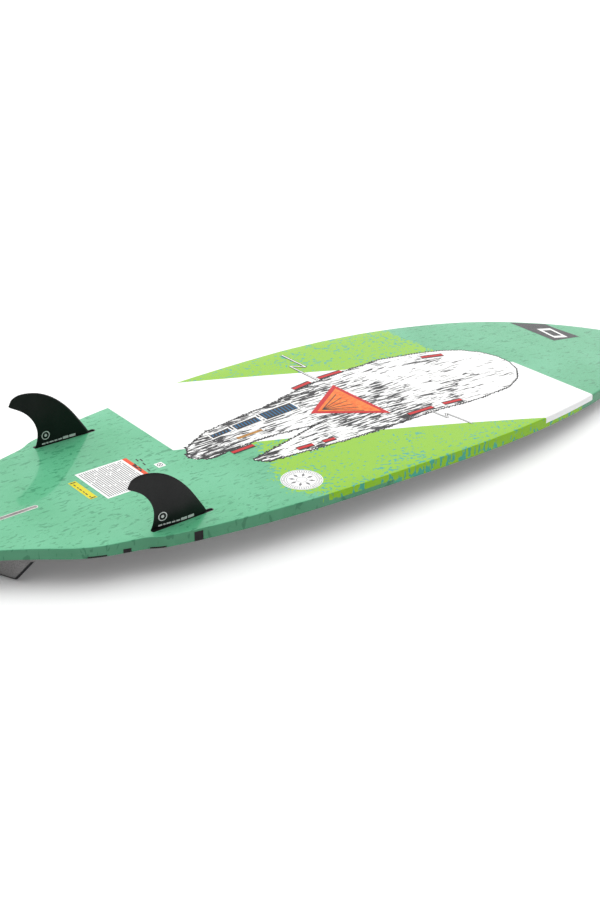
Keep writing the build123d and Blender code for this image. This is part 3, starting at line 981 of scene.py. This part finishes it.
# Labels between the fins, as boxes: tail end, left side, nose end, right side
LABEL = (-472, -48, -380, 54)
STRIP_WIDTH = 8
STRIP_TRIANGLE = [(-379, -2), (-373.5, 3), (-379, 8)]
STRIP_BAR = (-378, 10, -374.5, 26)
LABEL_MARGIN = 4
RULE_PITCH = 4.2
RULE_WIDTH = 1.6
RULE_GAP = 3
YELLOW_LABEL = (-496, -33, -482, 35)
YELLOW_ENDS = ((-494, -31, -484, -28.6), (-494, 30, -484, 32.4))
YELLOW_RULE = (-492, -490)
ICON_PLATE = (-348, -8, -333, 8)
ICON_MIDDLE = (-340.5, 0)
ICON_RADIUS = 5
ICON_BAR = ((-343, -2), (-338, 2))
ICON_MARKS = ((-373, 20), (-373, 6), (-366, -8), (-360, 14), (-356, 28), (-362, 32))


def label_rules(draw):
    """Broken rules across the label."""
    x0, y0, x1, y1 = LABEL
    rules = []
    x = x0 + 5
    while x < x1 - LABEL_MARGIN:
        start = y0 + LABEL_MARGIN
        while start < y1 - 2 * LABEL_MARGIN:
            end = min(start + draw.uniform(24, 90), y1 - LABEL_MARGIN)
            rules.append(box_outline(x, start, x + RULE_WIDTH, end))
            start = end + RULE_GAP
        x += RULE_PITCH
    return rules


def labels():
    """Plain labels between the fins: rules and bars, no lettering."""
    draw = random.Random(11)
    rule_grey = ink_material("print_rule_grey", (126, 126, 128), (104, 104, 106))
    _, y0, x1, y1 = LABEL
    decal("label_sheet", [box_outline(*LABEL)], 1, white_ink)
    decal("label_strip", [box_outline(x1, y0, x1 + STRIP_WIDTH, y1)], 1, label_orange)
    decal("label_rules", label_rules(draw), 2, rule_grey)
    decal("strip_mark", [STRIP_TRIANGLE, box_outline(*STRIP_BAR)], 2, ink)
    decal("yellow_label", [box_outline(*YELLOW_LABEL)], 1, label_yellow)
    start, end = YELLOW_RULE
    rules = [box_outline(start, y, end, y + draw.uniform(3, 7)) for y in range(-26, 26, 9)]
    rules += [box_outline(*place) for place in YELLOW_ENDS]
    decal("yellow_label_marks", rules, 2, ink)
    decal("icon_plate", [box_outline(*ICON_PLATE)], 1, white_ink)
    icon = ring(ICON_MIDDLE, ICON_RADIUS, 1.2, 32) + [bar(*ICON_BAR, 1.4)]
    decal("icon_ring", icon, 2, ink)
    decal("icon_marks", [bar((x, y), (x + 1, y + 9), 2.4) for x, y in ICON_MARKS], 1, ink)


NOSE_PATCH = [(578, 146), (589, 33), (653, 29), (641, 87), (640, 110)]
DIAMOND_MIDDLE = Vector((616, 66))
DIAMOND = [Vector((15, 22)), Vector((-13, 30)), Vector((-15, -22)), Vector((13, -30))]
DIAMOND_HOLE = 0.62  # size of the open middle, against the outline


def nose_patch():
    """A dark patch on the nose with an open diamond."""
    decal("nose_patch", [NOSE_PATCH], 1, patch_ink)
    edges = []
    for a, b in zip(DIAMOND, DIAMOND[1:] + DIAMOND[:1]):
        corners = (a, b, DIAMOND_HOLE * b, DIAMOND_HOLE * a)
        edges.append([tuple(DIAMOND_MIDDLE + corner) for corner in corners])
    decal("nose_diamond", edges, 2, white_ink)


artwork()
roundel()
labels()
nose_patch()


# Dark marks low on the near rail, and plain marks on the fins

# Start, end and height in millimetres
RAIL_MARKS = [(-529, -516, 7.0), (-420, -405, 16.5), (-582, -554, 2.8), (-488, -465, 2.8)]
RAIL_MARK_COLUMNS = 13
RAIL_LIFT = 0.0003  # of the marks off the rail
DECK_CLEAR = 0.0004  # between the marks and the deck's edge
FIN_STEP = 0.004  # the most between two cuts across a mark on a fin
FIN_LIFT = 0.00012  # of the marks off the fins


def wall_decal(name, corners, tree, across, body, material):
    """Shapes given by (x, z) corners in metres, laid on a wall that faces along Y."""
    bm = bmesh.new()
    for outline in corners:
        bm.faces.new([bm.verts.new((x, 0, z)) for x, z in outline])
    bmesh.ops.triangulate(bm, faces=bm.faces)
    for axis in (0, 2):
        start = min(v.co[axis] for v in bm.verts)
        end = max(v.co[axis] for v in bm.verts)
        place = start + FIN_STEP
        while place < end:
            co, no = [0, 0, 0], [0, 0, 0]
            co[axis], no[axis] = place, 1
            geometry = [*bm.verts, *bm.edges, *bm.faces]
            bmesh.ops.bisect_plane(bm, geom=geometry, dist=1e-7, plane_co=co, plane_no=no)
            place += FIN_STEP
    for vertex in bm.verts:
        hit = cast(tree, (vertex.co.x, across * 0.5, vertex.co.z), (0, -across, 0))
        vertex.co.y = (hit.y if hit else vertex.co.y) + across * FIN_LIFT
    for face in bm.faces:
        face.normal_update()
        if face.normal.y * across < 0:
            face.normal_flip()
    mesh = bpy.data.meshes.new(name)
    bm.to_mesh(mesh)
    bm.free()
    shade(mesh)
    obj = make_object(name, mesh)
    finish(material, obj)
    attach(obj, body)


def rail_marks():
    """Small dark rectangles that rise from the deck's edge."""
    bm = bmesh.new()
    for start, end, height in RAIL_MARKS:
        columns = []
        for i in range(RAIL_MARK_COLUMNS):
            x = (start + (end - start) * i / (RAIL_MARK_COLUMNS - 1)) * MM
            y = -half_width(x)
            foot = deck_z(x, y + DECK_INSET) + DECK_CLEAR
            columns.append([bm.verts.new((x, y - RAIL_LIFT, z)) for z in (foot, foot + height * MM)])
        for (a, b), (c, d) in zip(columns, columns[1:]):
            bm.faces.new((a, c, d, b))
    mesh = bpy.data.meshes.new("rail_marks")
    bm.to_mesh(mesh)
    bm.free()
    obj = make_object("rail_marks", mesh)
    finish(ink, obj)
    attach(obj, "board")


rail_marks()


FIN_RING = (-0.453, 0.0185)  # along the board, and above the bottom
FIN_RING_RADIUS = 0.0078
FIN_RING_WIDTH = 0.0016
FIN_DOT_RADIUS = 0.0026
FIN_BARS_X = -0.4612
FIN_THIN_BARS = (0.0028, 0.0055, (0.007, 0.004, 0.008, 0.006, 0.007))  # foot, head and lengths
FIN_BOLD_BARS = (0.0022, 0.0068, (0.011, 0.012))
FIN_BAR_GAP = 0.0016


def fin_marks():
    """A plain ring with a dot, and bars, near each fin's base, on both sides."""
    mark_white = ink_material("fin_mark_white", (226, 228, 228), (206, 208, 208))
    base = bottom_z(FIN_RING[0])
    centre = (FIN_RING[0], base + FIN_RING[1])
    shapes = ring(centre, FIN_RING_RADIUS, FIN_RING_WIDTH, 24) + [disc(centre, FIN_DOT_RADIUS, 16)]
    x = FIN_BARS_X
    for foot, head, lengths in (FIN_THIN_BARS, FIN_BOLD_BARS):
        for length in lengths:
            shapes.append(box_outline(x, base + foot, x + length, base + head))
            x += length + FIN_BAR_GAP
    for name in ("left_fin", "right_fin"):
        tree = BVHTree.FromObject(nodes[name], graph)
        for word, across in (("near", -1), ("far", 1)):
            mark = f"{name}_mark_{word}"
            wall_decal(mark, shapes, tree, across, name, mark_white)


fin_marks()


# EVA pads: remeshed, with rounded edges, grooves and a dark lower layer

PAD_VOXEL = 0.0014
GROOVE_PITCH = 0.012
GROOVE_WIDTH = 0.0026
GROOVE_DEPTH = 0.0011
KICK_CENTRE = Vector((-0.518, 0.0, 0.037))
KICK_RADIUS = 0.160
KICK_INNER = 0.060  # the kick lies further back from its centre than this
KICK_ROOT = 0.012  # the tail pad's face lies above this, measured down from the kick's centre
KICK_LAYER = 0.0052  # height of the dark lower layer
KICK_TRIM = 0.0045  # width of the dark edge at the kick's ends
EDGE_BLUR = 0.0006  # over which the dark fades out
KICK_END_TURN = radians(40)
KICK_END_TILT = radians(41)
FACES_DOWN = -0.93  # the normal's Z on a pad's grooved face, at most


def eva_material():
    """Flecked EVA foam with open pores, dark where the edge attribute says so."""
    shader = Shader("eva_foam")
    pores = shader.add("TexVoronoi", {"Vector": shader.place(), "Scale": 900.0})
    fleck = shader.grain(420, 3.0)
    base = shader.mix(shader.step(fleck, 0.35, 0.65), linear(EVA_GREY), linear(EVA_PALE))
    edge = shader.add("Attribute", output="Fac", attribute_name="edge")
    shader.set(
        Base_Color=shader.mix(edge, base, linear(EVA_LAYER)),
        Roughness=shader.spread(fleck, 0.78, 0.94),
    )
    shader.bump(pores, 0.5, 0.0005)
    return shader.material


def kick_ends():
    """The kick's two slanted ends: a point, the direction into the kick and the side they are on."""
    turn, tilt = KICK_END_TURN, KICK_END_TILT
    planes = []
    for side in (-1, 1):
        point = KICK_CENTRE + KICK_RADIUS * Vector((-cos(turn), side * sin(turn), 0))
        inward = Vector((-sin(turn) * cos(tilt), -side * cos(turn) * cos(tilt), sin(tilt)))
        planes.append((np.array(point), np.array(inward), side))
    return planes


def dark_edges(places):
    """1 in the kick's dark lower layer and round its slanted ends, 0 elsewhere."""
    x, y, z = places.T
    edge = np.clip((KICK_LAYER - z) / EDGE_BLUR, 0, 1)
    on_kick = (z < KICK_CENTRE.z) & (x < KICK_CENTRE.x - KICK_INNER)
    for point, inward, side in kick_ends():
        gap = np.abs((places - point) @ inward)
        near = np.clip((KICK_TRIM - gap) / EDGE_BLUR, 0, 1) * (on_kick & (side * y > 0))
        edge = np.maximum(edge, near)
    return edge


def groove_depth(x, y):
    """Depth of the crossing diagonal grooves at plan points."""
    depth = np.zeros_like(x)
    for lean in (0.5, -0.5):
        across = (y + lean * x) / np.sqrt(1 + lean * lean)
        offset = np.abs((across / GROOVE_PITCH) % 1 - 0.5) * GROOVE_PITCH
        depth = np.maximum(depth, GROOVE_DEPTH * np.clip(1 - offset / (GROOVE_WIDTH / 2), 0, 1))
    return depth


def vertex_vectors(mesh, what):
    """One vector per vertex, as an array."""
    values = np.empty(len(mesh.vertices) * 3)
    mesh.vertices.foreach_get(what, values)
    return values.reshape(-1, 3)


def eva_pad(node, material):
    """A packed pad as soft foam with a grooved face."""
    pad = make_object(node + "_eva", nodes[node].data.copy())
    remesh = pad.modifiers.new("remesh", "REMESH")
    remesh.mode = "VOXEL"
    remesh.voxel_size = PAD_VOXEL
    smooth = pad.modifiers.new("smooth", "SMOOTH")
    smooth.factor = 0.5
    smooth.iterations = 3
    pad.data = applied_mesh(pad)
    pad.modifiers.clear()
    on_tail = node.startswith("tail")
    places = vertex_vectors(pad.data, "co")
    face = vertex_vectors(pad.data, "normal")[:, 2] < FACES_DOWN
    if on_tail:
        face &= places[:, 2] > KICK_CENTRE.z - KICK_ROOT
    places[face, 2] += groove_depth(places[face, 0], places[face, 1])
    pad.data.vertices.foreach_set("co", places.ravel())
    edge = dark_edges(places) if on_tail else np.zeros(len(places))
    attribute = pad.data.attributes.new("edge", "FLOAT", "POINT")
    attribute.data.foreach_set("value", edge.astype(np.float32))
    shade(pad.data, 60)
    finish(material, pad)
    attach(pad, "board")
    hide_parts(node)


eva = eva_material()
for name in ("tail_pad_left", "tail_pad_centre", "tail_pad_right", "front_pad_left", "front_pad_right"):
    eva_pad(name, eva)


# Floor, light and camera

FLOOR_SIZE = 40.0
FLOOR_GLOW = 0.11  # glow painted into the floor, which is no lamp; it lightens the board's shadow on the floor
FLOOR_LOW = (0.91, 0.91, 0.91, 1)
FLOOR_HIGH = (0.93, 0.93, 0.93, 1)
SKY_TOWARDS = (0.35, 0.45, 0.82)  # where the sky is brightest
SKY_START = 0.05  # cosine of the angle from there at which the sky starts to brighten
SKY_LOW = 0.18
SKY_HIGH = 1.95
LAMP_PLACE = Vector((0.5, 0.9, 3.4))
LAMP_SIZE = 2.6
LAMP_POWER = 10
LENS = 80.08
ELEVATION = radians(27.03)
AZIMUTH = radians(37.43)
ROLL = radians(0.21)
DISTANCE = 3.3518
AIM = Vector((-0.1231, -0.0960, 0.067))


def floor():
    """A wide, plain, pale floor under the board."""
    size = FLOOR_SIZE
    corners = [(-size, -size, 0), (size, -size, 0), (size, size, 0), (-size, size, 0)]
    mesh = bpy.data.meshes.new("floor")
    mesh.from_pydata(corners, [], [(0, 1, 2, 3)])
    obj = make_object("floor", mesh)
    shader = Shader("floor_pale", Roughness=0.95, Specular_IOR_Level=0.1)
    tone = shader.grain(0.6, 3.0)
    shader.set(Base_Color=shader.mix(tone, FLOOR_LOW, FLOOR_HIGH))
    # Painted glow: the floor emits light, which lightens the shadow under the board and lights the board
    # from below.
    shader.set(Emission_Color=(1, 1, 1, 1), Emission_Strength=FLOOR_GLOW)
    finish(shader.material, obj)


def lamp():
    """A soft round lamp aimed at the board's middle."""
    light = bpy.data.lights.new("key", "AREA")
    light.shape = "DISK"
    light.size = LAMP_SIZE
    light.energy = LAMP_POWER
    obj = make_object("key", light)
    obj.location = LAMP_PLACE
    obj.rotation_euler = LAMP_PLACE.to_track_quat("Z", "Y").to_euler()


def sky():
    """A soft sky, brightest above and behind the board."""
    world = bpy.data.worlds.new("studio")
    world.use_nodes = True
    tree = world.node_tree
    background = tree.nodes["Background"]
    background.inputs["Color"].default_value = (1, 1, 1, 1)
    point = tree.nodes.new("ShaderNodeTexCoord")
    facing = tree.nodes.new("ShaderNodeVectorMath")
    facing.operation = "DOT_PRODUCT"
    facing.inputs[1].default_value = SKY_TOWARDS
    level = tree.nodes.new("ShaderNodeMapRange")
    level.inputs["From Min"].default_value = SKY_START
    level.inputs["From Max"].default_value = 1.0
    level.inputs["To Min"].default_value = SKY_LOW
    level.inputs["To Max"].default_value = SKY_HIGH
    tree.links.new(point.outputs["Generated"], facing.inputs[0])
    tree.links.new(facing.outputs["Value"], level.inputs["Value"])
    tree.links.new(level.outputs["Result"], background.inputs["Strength"])
    bpy.context.scene.world = world


def camera():
    """The camera, at the photograph's viewing angle."""
    level = cos(ELEVATION)
    back = Vector((-sin(AZIMUTH) * level, -cos(AZIMUTH) * level, sin(ELEVATION)))
    data = bpy.data.cameras.new("camera")
    data.lens = LENS
    data.sensor_width = 36.0
    data.dof.use_dof = False
    obj = make_object("camera", data)
    obj.location = AIM + DISTANCE * back
    turn = back.to_track_quat("Z", "Y").to_matrix().to_4x4() @ Matrix.Rotation(ROLL, 4, "Z")
    obj.rotation_euler = turn.to_euler()
    bpy.context.scene.camera = obj


floor()
sky()
lamp()
camera()
bpy.context.scene.view_settings.view_transform = "Standard"
